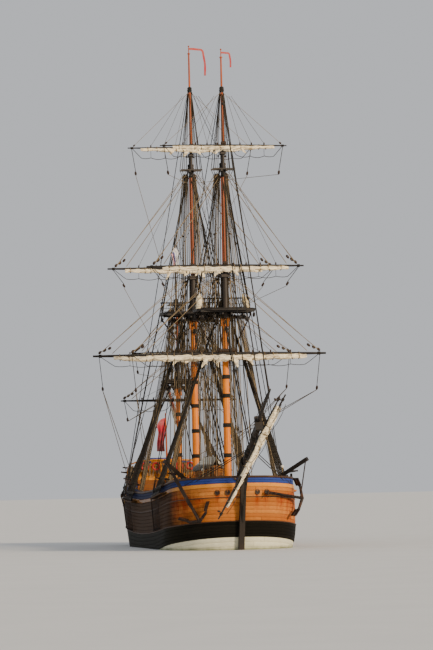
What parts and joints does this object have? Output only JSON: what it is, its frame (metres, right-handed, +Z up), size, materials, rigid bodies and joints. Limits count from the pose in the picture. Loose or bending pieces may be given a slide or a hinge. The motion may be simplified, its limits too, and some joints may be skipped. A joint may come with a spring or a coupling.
{
  "type": "three-masted square-rigged sailing ship, 1:2 model",
  "caption": "Bluff-bowed three-masted sailing ship with furled sails, braced yards on collars, a bowsprit with sprit yards, and a coupled wheel and rudder, as a half-size model.",
  "frame": {"origin": "amidships on the centreline, at the waterline", "axes": "+X to the bow, +Y to port, +Z up"},
  "size_m": [22.0552, 7.8, 20.5297],
  "materials": {
    "bottom_paint": "cream white paint on planks",
    "wale_paint": "black paint on planks",
    "varnished_side": "varnished planks",
    "blue_paint": "satin blue paint",
    "dark_wood": "tarred timber",
    "deck_wood": "scrubbed planks",
    "mast_varnish": "bright varnished spar",
    "dark_varnish": "red-brown varnished spar",
    "black_paint": "black painted spar",
    "sail_canvas": "furled flax canvas",
    "boat_canvas": "grey canvas cover",
    "iron": "black painted iron",
    "tarred_rope": "tarred hemp"
  },
  "bodies": {
    "ship": {"hull_bottom": "bottom_paint", "hull_wale": "wale_paint", "hull_side": "varnished_side", "bulwark_port": "varnished_side", "bulwark_starboard": "varnished_side", "upper_bulwark_port": "blue_paint", "upper_bulwark_starboard": "blue_paint", "transom": "blue_paint", "keel_and_stem": "dark_wood", "main_deck": "deck_wood", "forecastle_deck": "deck_wood", "quarter_deck": "deck_wood", "ship_boat": "varnished_side", "boat_cover": "boat_canvas", "fore_lower_mast": "mast_varnish", "main_lower_mast": "mast_varnish", "mizzen_lower_mast": "mast_varnish", "fore_top": "black_paint", "main_top": "black_paint", "mizzen_top": "black_paint", "fore_topmast": "dark_varnish", "main_topmast": "dark_varnish", "mizzen_topmast": "dark_varnish", "fore_topgallant_mast": "dark_varnish", "main_topgallant_mast": "dark_varnish", "bowsprit": "black_paint", "jibboom": "black_paint", "cathead_port": "black_paint", "cathead_starboard": "black_paint", "anchor_starboard": "iron", "anchor_port": "iron", "fore_stay": "tarred_rope", "main_stay": "tarred_rope", "fore_topmast_stay": "tarred_rope", "main_topmast_stay": "tarred_rope"},
    "fore_yard_and_sail": {"fore_yard": "black_paint", "fore_sail": "sail_canvas"},
    "fore_topsail_yard_and_sail": {"fore_topsail_yard": "black_paint", "fore_topsail_sail": "sail_canvas"},
    "fore_topgallant_yard_and_sail": {"fore_topgallant_yard": "black_paint", "fore_topgallant_sail": "sail_canvas"},
    "main_yard_and_sail": {"main_yard": "black_paint", "main_sail": "sail_canvas"},
    "main_topsail_yard_and_sail": {"main_topsail_yard": "black_paint", "main_topsail_sail": "sail_canvas"},
    "main_topgallant_yard_and_sail": {"main_topgallant_yard": "black_paint", "main_topgallant_sail": "sail_canvas"},
    "crossjack_yard_spar": {"crossjack_yard": "black_paint"},
    "mizzen_topsail_yard_and_sail": {"mizzen_topsail_yard": "black_paint", "mizzen_topsail_sail": "sail_canvas"},
    "gaff_and_sail": {"gaff": "mast_varnish", "gaff_sail": "sail_canvas"},
    "spritsail_yard_and_sail": {"spritsail_yard": "black_paint", "spritsail_sail": "sail_canvas"},
    "sprit_topsail_yard_and_sail": {"sprit_topsail_yard": "black_paint", "sprit_topsail_sail": "sail_canvas"},
    "rudder_and_tiller": {"rudder": "dark_wood"},
    "wheel": {"steering_wheel": "dark_varnish"},
    "capstan_barrel": {"capstan": "dark_varnish"},
    "windlass": {"windlass_barrel": "dark_wood"}
  },
  "joints": [
    {"name": "fore_yard_brace", "type": "hinge", "parent": "ship", "child": "fore_yard_and_sail", "pos_m": [5.47335, 0, 6.92493], "axis": [-0.0052, 0, 1], "range_deg": [-30, 30]},
    {"name": "fore_topsail_yard_brace", "type": "hinge", "parent": "ship", "child": "fore_topsail_yard_and_sail", "pos_m": [5.68691, 0, 10.06609], "axis": [-0.0052, 0, 1], "range_deg": [-30, 30]},
    {"name": "fore_topgallant_yard_brace", "type": "hinge", "parent": "ship", "child": "fore_topgallant_yard_and_sail", "pos_m": [5.83434, 0, 14.37692], "axis": [-0.0052, 0, 1], "range_deg": [-30, 30]},
    {"name": "main_yard_brace", "type": "hinge", "parent": "ship", "child": "main_yard_and_sail", "pos_m": [-1.20579, 0, 7.22444], "axis": [-0.014, 0, 0.9999], "range_deg": [-30, 30]},
    {"name": "main_topsail_yard_brace", "type": "hinge", "parent": "ship", "child": "main_topsail_yard_and_sail", "pos_m": [-1.02174, 0, 10.51733], "axis": [-0.014, 0, 0.9999], "range_deg": [-30, 30]},
    {"name": "main_topgallant_yard_brace", "type": "hinge", "parent": "ship", "child": "main_topgallant_yard_and_sail", "pos_m": [-0.91578, 0, 15.10425], "axis": [-0.014, 0, 0.9999], "range_deg": [-30, 30]},
    {"name": "crossjack_yard_brace", "type": "hinge", "parent": "ship", "child": "crossjack_yard_spar", "pos_m": [-5.07283, 0, 5.64482], "axis": [-0.0523, 0, 0.9986], "range_deg": [-30, 30]},
    {"name": "mizzen_topsail_yard_brace", "type": "hinge", "parent": "ship", "child": "mizzen_topsail_yard_and_sail", "pos_m": [-4.93997, 0, 7.50432], "axis": [-0.0523, 0, 0.9986], "range_deg": [-30, 30]},
    {"name": "gaff_vang", "type": "hinge", "parent": "ship", "child": "gaff_and_sail", "pos_m": [-5.02835, 0, 4.79598], "axis": [-0.0523, 0, 0.9986], "range_deg": [-35, 35]},
    {"name": "spritsail_yard_topping", "type": "hinge", "parent": "ship", "child": "spritsail_yard_and_sail", "pos_m": [10.125, 0, 3.21], "axis": [1, 0, 0], "range_deg": [-60, 0]},
    {"name": "sprit_topsail_yard_topping", "type": "hinge", "parent": "ship", "child": "sprit_topsail_yard_and_sail", "pos_m": [11.175, 0, 3.74], "axis": [1, 0, 0], "range_deg": [-61.5, 0]},
    {"name": "rudder_turn", "type": "hinge", "parent": "ship", "child": "rudder_and_tiller", "pos_m": [-7.31316, 0, -1.7], "axis": [-0.1115, 0, 0.9938], "range_deg": [-35, 35]},
    {"name": "wheel_spin", "type": "hinge", "parent": "ship", "child": "wheel", "pos_m": [-3.71, 0, 2.31], "axis": [1, 0, 0], "range_deg": [-540, 540]},
    {"name": "capstan_spin", "type": "hinge", "parent": "ship", "child": "capstan_barrel", "pos_m": [-3.1, 0, 1.7528], "axis": [0, 0, 1], "continuous": true},
    {"name": "windlass_spin", "type": "hinge", "parent": "ship", "child": "windlass", "pos_m": [3.75, 0, 1.81], "axis": [0, 1, 0], "continuous": true}
  ],
  "couplings": [
    {"joint": "wheel_spin", "follows": "rudder_turn", "ratio": 15.413}
  ]
}
